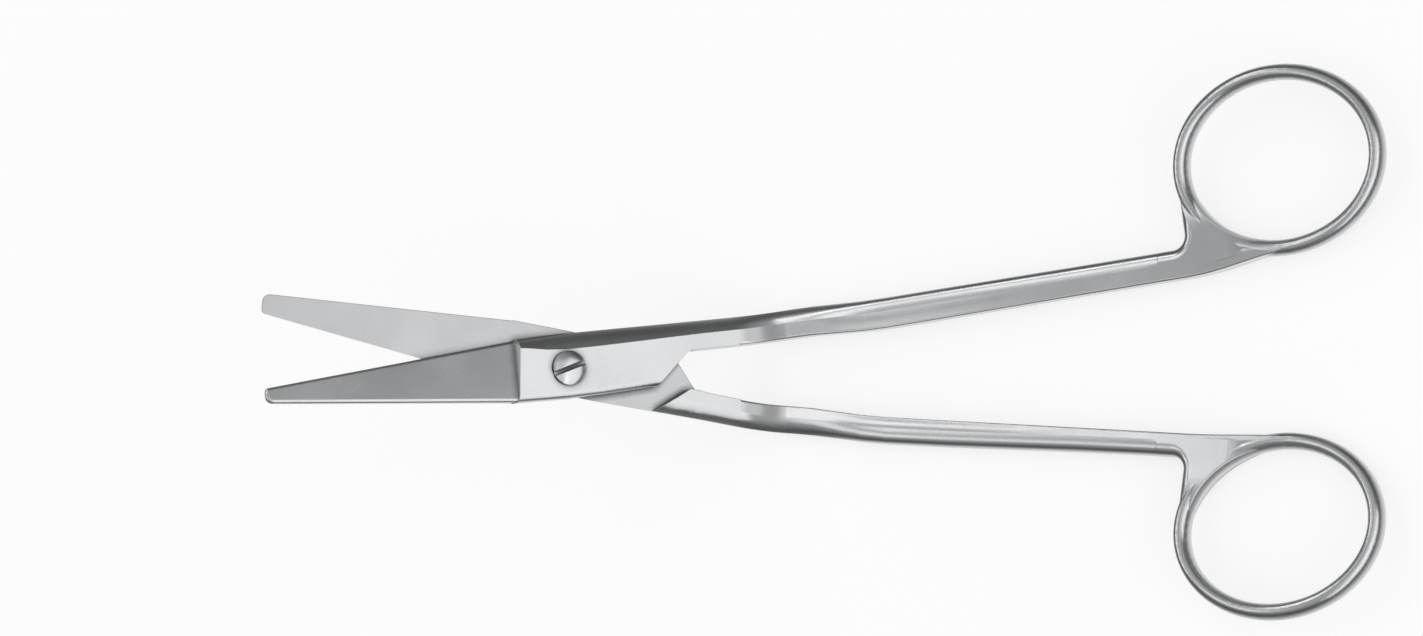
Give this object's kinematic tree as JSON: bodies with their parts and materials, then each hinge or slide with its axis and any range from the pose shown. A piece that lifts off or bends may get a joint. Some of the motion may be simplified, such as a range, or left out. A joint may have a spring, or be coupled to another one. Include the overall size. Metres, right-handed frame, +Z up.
{
  "type": "dissecting scissors",
  "caption": "Angled dissecting scissors with straight blunt-ended blades, a slotted pivot screw and oval finger rings, opened partway.",
  "frame": {"origin": "under the middle of the bounding box, level with the lowest point of the shanks and rings", "axes": "+X from the blade tips toward the finger rings, +Y toward the front half's ring, +Z up from the table the shanks lie on, toward the screw head"},
  "size_m": [0.1572, 0.0828, 0.0628],
  "materials": {
    "satin_steel": "satin",
    "screw_steel": "satin"
  },
  "bodies": {
    "rear": {"rear_half": "satin_steel", "pivot_screw": "screw_steel"},
    "front": {"front_half": "satin_steel"}
  },
  "joints": [
    {"name": "pivot", "type": "hinge", "parent": "rear", "child": "front", "pos_m": [-0.0462, -0.00135, 0.02676], "axis": [0.7465, 0, 0.6653], "range_deg": [-16.4, 40]}
  ]
}
